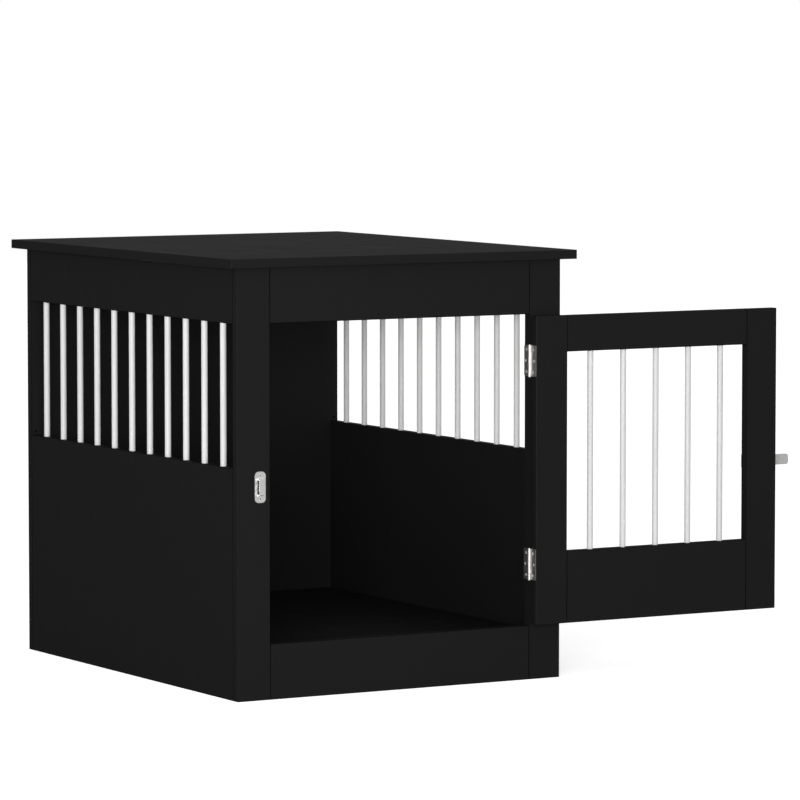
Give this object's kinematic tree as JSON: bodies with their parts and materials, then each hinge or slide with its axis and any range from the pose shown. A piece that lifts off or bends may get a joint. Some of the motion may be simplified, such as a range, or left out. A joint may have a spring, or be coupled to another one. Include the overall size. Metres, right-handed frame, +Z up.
{
  "type": "dog crate end table",
  "caption": "Low end table whose body is a dog crate: laminated boards, upright metal bars in the side windows, and an inset barred door on butt hinges with a flat slide bolt.",
  "frame": {"origin": "centre of the underside of the front frame's bottom rail, halfway through its thickness, where it meets the floor", "axes": "+Z up to the tabletop, +X to the right of someone facing the doorway, +Y from the doorway towards the back; the door stands open to +X"},
  "size_m": [1.0787, 0.8073, 0.71],
  "materials": {
    "laminate": "satin black laminate",
    "bars": "satin",
    "hinge_steel": "nickel plated",
    "bolt_steel": "satin nickel plated",
    "screw_steel": "nickel plated",
    "fastener_steel": "zinc plated",
    "cam_metal": "zinc alloy casting",
    "dowel": "raw beech"
  },
  "bodies": {
    "carcass": {"tabletop": "laminate", "back_panel": "laminate", "floor_panel": "laminate", "front_left_stile": "laminate", "front_right_stile": "laminate", "front_top_rail": "laminate", "front_bottom_rail": "laminate", "left_upper_panel": "laminate", "right_upper_panel": "laminate", "left_lower_panel": "laminate", "right_lower_panel": "laminate", "left_bar_01": "bars", "left_bar_02": "bars", "left_bar_03": "bars", "left_bar_04": "bars", "left_bar_05": "bars", "left_bar_06": "bars", "left_bar_07": "bars", "left_bar_08": "bars", "left_bar_09": "bars", "left_bar_10": "bars", "left_bar_11": "bars", "right_bar_01": "bars", "right_bar_02": "bars", "right_bar_03": "bars", "right_bar_04": "bars", "right_bar_05": "bars", "right_bar_06": "bars", "right_bar_07": "bars", "right_bar_08": "bars", "right_bar_09": "bars", "right_bar_10": "bars", "right_bar_11": "bars", "upper_hinge_frame_leaf": "hinge_steel", "lower_hinge_frame_leaf": "hinge_steel", "upper_hinge_pin": "hinge_steel", "lower_hinge_pin": "hinge_steel", "keeper": "bolt_steel", "carcass_dowels": "dowel", "cam_locks": "cam_metal", "cam_bolts": "fastener_steel", "back_panel_screws": "fastener_steel", "carcass_screws": "screw_steel"},
    "door": {"door_hinge_stile": "laminate", "door_latch_stile": "laminate", "door_top_rail": "laminate", "door_bottom_rail": "laminate", "door_bar_01": "bars", "door_bar_02": "bars", "door_bar_03": "bars", "door_bar_04": "bars", "door_bar_05": "bars", "upper_hinge_door_leaf": "hinge_steel", "lower_hinge_door_leaf": "hinge_steel", "bolt_cover": "bolt_steel", "door_dowels": "dowel", "door_screws": "screw_steel"},
    "bolt": {"bolt_tongue": "bolt_steel", "bolt_knob": "bolt_steel"}
  },
  "joints": [
    {"name": "door_hinge", "type": "hinge", "parent": "carcass", "child": "door", "pos_m": [0.2415, -0.01115, 0.3475], "axis": [0, 0, 1], "range_deg": [-180, 0]},
    {"name": "bolt_slide", "type": "slide", "parent": "door", "child": "bolt", "axis": [-1, 0, 0], "range_m": [0, 0.034]}
  ]
}
